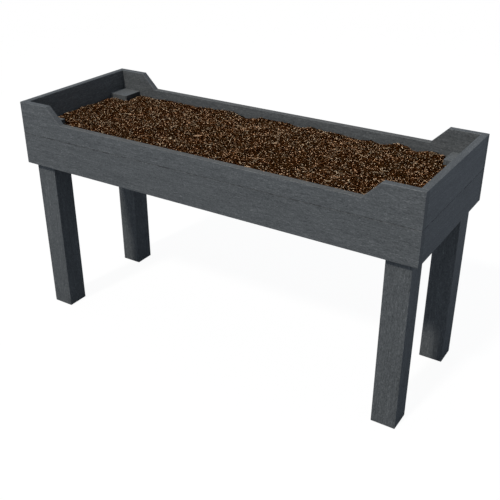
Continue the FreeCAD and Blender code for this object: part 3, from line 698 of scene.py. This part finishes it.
def soil_material(name, scattered):
    made, g, shader = material(name)
    place = g.node("ShaderNodeTexCoord").outputs["Object"]
    crumbs = g.voronoi(place, scale=270.0)
    each = g.split(crumbs.outputs["Color"])
    grain = g.noise(place, scale=420.0, detail=4, rough=0.65)
    patch = g.noise(place, scale=16.0, detail=3)
    rust = g.noise(g.vector("ADD", place, (3.0, 7.0, 1.0)), scale=24.0, detail=3)
    if scattered:
        shade = g.node("ShaderNodeAttribute", attribute_type="GEOMETRY", attribute_name="shade").outputs["Fac"]
        hue = g.node("ShaderNodeAttribute", attribute_type="GEOMETRY", attribute_name="hue").outputs["Fac"]
        value = g.math("ADD", shade, g.math("MULTIPLY", g.math("SUBTRACT", grain, 0.5), 0.42))
    else:
        hue = each[1]
        value = g.math("ADD", 0.24, g.math("MULTIPLY", g.math("SUBTRACT", each[0], 0.5), 0.66))
        value = g.math("ADD", value, g.math("MULTIPLY", g.math("SUBTRACT", grain, 0.5), 0.80))
        # darker between the crumbs: painted shade in the gaps
        crumb_gap_painted_shade = g.remap(crumbs.outputs["Distance"], 0.28, 0.60, 0.0, 0.26)
        value = g.math("SUBTRACT", value, crumb_gap_painted_shade)
    value = g.math("ADD", value, g.math("MULTIPLY", g.math("SUBTRACT", patch, 0.5), 0.09))
    # painted shade: darker along the front and back walls, where the walls shade the compost
    side = g.math("SUBTRACT", BED_Y, g.math("ABSOLUTE", g.split(place)[1]))
    value = g.math("SUBTRACT", value, g.remap(g.math("ADD", side, g.math("MULTIPLY", patch, -0.012)), -0.002, 0.013, 0.30, 0.0))
    color = g.ramp(value, SOIL)
    hue = g.math("ADD", g.math("MULTIPLY", hue, 0.80), g.remap(rust, 0.38, 0.62, -0.22, 0.38), clamp=True)
    color = g.mix(hue, g.mix(1.0, color, (1.10, 1.025, 0.810), "MULTIPLY"), g.mix(1.0, color, (1.35, 0.945, 0.62), "MULTIPLY"))
    g.feed(shader.inputs["Base Color"], color)
    g.feed(shader.inputs["Roughness"], g.remap(grain, 0.3, 0.7, 0.98, 0.78))
    if not scattered:
        g.feed(shader.inputs["Normal"], g.bump(g.math("ADD", grain, g.math("MULTIPLY", crumbs.outputs["Distance"], -0.6)), 0.7, 0.0016))
    shader.inputs["IOR"].default_value = 1.30
    shader.inputs["Specular IOR Level"].default_value = 0.01
    return made


soil_bed = soil_material("compost_fine", False)
soil_bits = soil_material("compost_bits", True)

bed = compost_bed()
bed.data.materials.append(soil_bed)
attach(bed, "root")
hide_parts("compost")

litter = [
    scatter("compost_lumps", "lump", 180, 31, (0.0060, 0.010), (0.65, 1.0), (0.5, 0.85), 0.5, (-0.2, 0.1), 0.045, 0.0, (0.22, 0.14, 0.25), True),
    scatter("compost_crumbs", "crumb", 9800, 36, (0.0036, 0.0054), (0.6, 1.0), (0.6, 1.0), 0.5, (0.1, 0.7), 0.07, 0.0, (0.25, 0.17, 0.9), False),
    scatter("compost_grit", "grit", 24000, 32, (0.0028, 0.0042), (0.6, 1.0), (0.5, 0.9), 0.5, (0.0, 1.1), 0.07, 0.0, (0.43, 0.19, 1.2), False),
    scatter("compost_shreds", "shred", 16400, 35, (0.0034, 0.0060), (0.26, 0.45), (0.3, 0.7), 0.34, (0.2, 2.2), 0.06, 0.05, (0.41, 0.20, 1.3), False),
    scatter("compost_chips", "chip", 9600, 33, (0.0048, 0.0110), (0.13, 0.24), (0.3, 0.6), 0.26, (0.4, 2.0), 0.05, 0.05, (0.29, 0.20, 1.4), False),
    scatter("compost_fibres", "fibre", 7400, 34, (0.007, 0.032), (0.030, 0.050), (0.7, 1.0), 0.15, (1.0, 4.0), 0.03, 0.10, (0.40, 0.28, 1.10), False),
    scatter("compost_straws", "fibre", 170, 37, (0.011, 0.036), (0.045, 0.080), (0.6, 1.0), 0.10, (1.6, 3.2), 0.03, 0.10, (0.80, 0.12, 0.40), False),
]
for piece in litter:
    piece.data.materials.append(soil_bits)
    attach(piece, "root")
    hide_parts("compost")

# ---------------------------------------------------------------- liner


def liner_sheet():
    """Woven ground sheet laid on the slats: it dips a little into each gap, and is cut round the posts and cleats."""
    low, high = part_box("liner")
    half_x, half_y = high.x, high.y
    gaps = []
    edges = sorted((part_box(n)[0].x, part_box(n)[1].x) for n in nodes if n.startswith("base_slat"))
    for (_, a), (b, _) in zip(edges, edges[1:]):
        if b - a > 0.002:
            gaps.append(((a + b) / 2, b - a))
    post_x, post_y = post_low.x - 0.002, post_low.y - 0.002
    cleat_x, cleat_y = cleat_high.x + 0.002, cleat_low.y - 0.002
    marks_x = sorted({-half_x, -post_x, -cleat_x, cleat_x, post_x, half_x} | {g[0] + s * g[1] / 2 for g in gaps for s in (-1, -0.5, 0, 0.5, 1)})
    marks_y = [-half_y, -cleat_y, -post_y, post_y, cleat_y, half_y]

    def spread(marks, step):
        out = [marks[0]]
        for a, b in zip(marks, marks[1:]):
            count = max(1, math.ceil((b - a) / step))
            out.extend(a + (b - a) * i / count for i in range(1, count + 1))
        return out

    xs, ys = spread(marks_x, 0.012), spread(marks_y, 0.012)
    rng = np.random.default_rng(77)
    phase = rng.uniform(0, 6.28, 12)
    ids, vertices, faces = {}, [], []

    def drop(x, y):
        dip = 0.0
        for centre, width in gaps:
            t = (x - centre) / (width / 2)
            if abs(t) < 1:
                dip = 0.0016 * (1 - t * t) ** 2
        ease = min(1.0, (half_y - abs(y)) / 0.02)
        ripple = 0.00022 * (1 + math.sin(31 * x + phase[0]) * math.sin(47 * y + phase[1]))
        return low.z + 0.0003 + ripple * (1 if dip == 0 else 0) - dip * max(0.0, ease) * 0.9

    def vertex(i, j, side):
        key = (i, j, side)
        if key not in ids:
            ids[key] = len(vertices)
            vertices.append((xs[i], ys[j], drop(xs[i], ys[j]) + (0.0008 if side else 0.0)))
        return ids[key]

    rim = {}
    for i in range(len(xs) - 1):
        for j in range(len(ys) - 1):
            cx, cy = (xs[i] + xs[i + 1]) / 2, (ys[j] + ys[j + 1]) / 2
            if abs(cx) > post_x and abs(cy) > post_y:
                continue
            if abs(cx) < cleat_x and abs(cy) > cleat_y:
                continue
            quad = [(i, j), (i + 1, j), (i + 1, j + 1), (i, j + 1)]
            faces.append([vertex(*q, 1) for q in quad])
            faces.append([vertex(*q, 0) for q in reversed(quad)])
            for a, b in zip(quad, quad[1:] + quad[:1]):
                if (b, a) in rim:
                    del rim[(b, a)]
                else:
                    rim[(a, b)] = True
    for a, b in rim:
        faces.append([vertex(*b, 1), vertex(*a, 1), vertex(*a, 0), vertex(*b, 0)])
    return mesh_object("liner_sheet", vertices, faces, True)


def woven(name):
    """Flat woven tape yarns, 2.4 mm apart each way, near black with a slight sheen."""
    made, g, shader = material(name)
    place = g.node("ShaderNodeTexCoord").outputs["Object"]
    x, y, z = g.split(place)
    pitch = 0.0024
    warp = g.math("SINE", g.math("MULTIPLY", x, math.pi / pitch))
    weft = g.math("SINE", g.math("MULTIPLY", y, math.pi / pitch))
    check = g.math("GREATER_THAN", g.math("MULTIPLY", warp, weft), 0.0)
    across = g.math("ABSOLUTE", g.math("SINE", g.math("MULTIPLY", x, 2 * math.pi / pitch)))
    down = g.math("ABSOLUTE", g.math("SINE", g.math("MULTIPLY", y, 2 * math.pi / pitch)))
    over = g.math("ADD", g.math("MULTIPLY", check, across), g.math("MULTIPLY", g.math("SUBTRACT", 1.0, check), down))
    fray = g.noise(g.vector("MULTIPLY", place, (900.0, 900.0, 200.0)), detail=3)
    yarn = g.noise(g.vector("MULTIPLY", place, (420.0, 6.0, 6.0)), detail=1)
    value = g.math("ADD", g.math("MULTIPLY", over, 0.55), g.math("ADD", g.math("MULTIPLY", fray, 0.3), g.math("MULTIPLY", yarn, 0.25)))
    color = g.ramp(value, [(0.1, (0.006, 0.007, 0.007)), (0.55, (0.018, 0.020, 0.020)), (1.0, (0.042, 0.045, 0.044))])
    g.feed(shader.inputs["Base Color"], color)
    g.feed(shader.inputs["Roughness"], g.remap(fray, 0.3, 0.7, 0.52, 0.72))
    return made


liner = liner_sheet()
liner.data.materials.append(woven("liner_weave"))
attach(liner, "root")
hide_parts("liner")

# ---------------------------------------------------------------- floor, light and world

FLOOR_RADIUS = 7.0
BOUNCE_RADIUS = 1.6
bm = bmesh.new()
centre = bm.verts.new((0, 0, -0.0006))
rings = [[bm.verts.new((r * math.cos(a), r * math.sin(a), -0.0006)) for a in np.linspace(0, 2 * math.pi, 65)[:-1]] for r in (1.5, 3.0, 5.0, FLOOR_RADIUS)]
for k in range(64):
    bm.faces.new((centre, rings[0][k], rings[0][(k + 1) % 64]))
for inner, outer in zip(rings, rings[1:]):
    for k in range(64):
        bm.faces.new((inner[k], outer[k], outer[(k + 1) % 64], inner[(k + 1) % 64]))
floor_mesh = bpy.data.meshes.new("floor")
bm.to_mesh(floor_mesh)
bm.free()
floor = bpy.data.objects.new("floor", floor_mesh)
scene.collection.objects.link(floor)

floor_material = bpy.data.materials.new("pale_floor")
floor_material.use_nodes = True
floor_material.node_tree.nodes.clear()
g = Graph(floor_material.node_tree)
place = g.node("ShaderNodeTexCoord").outputs["Object"]
distance = g.vector("LENGTH", place)
glow = g.node("ShaderNodeEmission", {"Color": (1, 1, 1, 1), "Strength": 0.945})
matte = g.node("ShaderNodeBsdfDiffuse", {"Color": (0.070, 0.070, 0.070, 1)})
both = g.node("ShaderNodeAddShader", {0: glow.outputs[0], 1: matte.outputs[0]})
clear = g.node("ShaderNodeBsdfTransparent")
fade = g.remap(distance, 3.0, 6.5)
blend = g.node("ShaderNodeMixShader", {0: fade, 1: both.outputs[0], 2: clear.outputs[0]})
g.node("ShaderNodeOutputMaterial", {"Surface": blend.outputs[0]})
floor.data.materials.append(floor_material)
# the pale floor is there for the camera; the light that comes up from below is that of the grey bounce board
floor.visible_diffuse = False
floor.visible_glossy = False
floor.visible_transmission = False
floor.visible_shadow = False

bounce = bpy.data.objects.new("bounce", floor_mesh.copy())
bounce.location.z = -0.001
bounce.scale = (BOUNCE_RADIUS / FLOOR_RADIUS, BOUNCE_RADIUS / FLOOR_RADIUS, 1.0)
scene.collection.objects.link(bounce)
bounce_material = bpy.data.materials.new("grey_bounce")
bounce_material.use_nodes = True
bounce_material.node_tree.nodes.clear()
g = Graph(bounce_material.node_tree)
board = g.node("ShaderNodeBsdfDiffuse", {"Color": (0.160, 0.182, 0.208, 1)})
g.node("ShaderNodeOutputMaterial", {"Surface": board.outputs[0]})
bounce.data.materials.clear()
bounce.data.materials.append(bounce_material)
bounce.visible_camera = False

TO_KEY = Vector((-0.099, -0.676, 0.730))
key_data = bpy.data.lights.new("key", "SUN")
key_data.energy = 2.266
key_data.angle = math.radians(5.6)
key_data.color = (1.0, 0.952, 0.886)
key_light = bpy.data.objects.new("key", key_data)
key_light.rotation_euler = TO_KEY.to_track_quat("Z", "Y").to_euler()
key_light.location = TO_KEY * 4
scene.collection.objects.link(key_light)

world = bpy.data.worlds.new("studio")
scene.world = world
world.use_nodes = True
world.node_tree.nodes.clear()
g = Graph(world.node_tree)
towards = g.split(g.node("ShaderNodeTexCoord").outputs["Generated"])
sky = g.mix(g.remap(towards[2], -0.12, 0.12), (0.362, 0.400, 0.458), (0.426, 0.470, 0.538))
# the studio is a little darker to the right
sky = g.scale_color(sky, g.math("SUBTRACT", 1.0, g.math("MULTIPLY", g.math("MAXIMUM", towards[0], 0.0), 0.30)))
lighting = g.node("ShaderNodeBackground", {"Color": sky, "Strength": 1.0})
backdrop = g.node("ShaderNodeBackground", {"Color": (1, 1, 1, 1), "Strength": 1.0})
seen = g.node("ShaderNodeLightPath").outputs["Is Camera Ray"]
choice = g.node("ShaderNodeMixShader", {0: seen, 1: lighting.outputs[0], 2: backdrop.outputs[0]})
g.node("ShaderNodeOutputWorld", {"Surface": choice.outputs[0]})
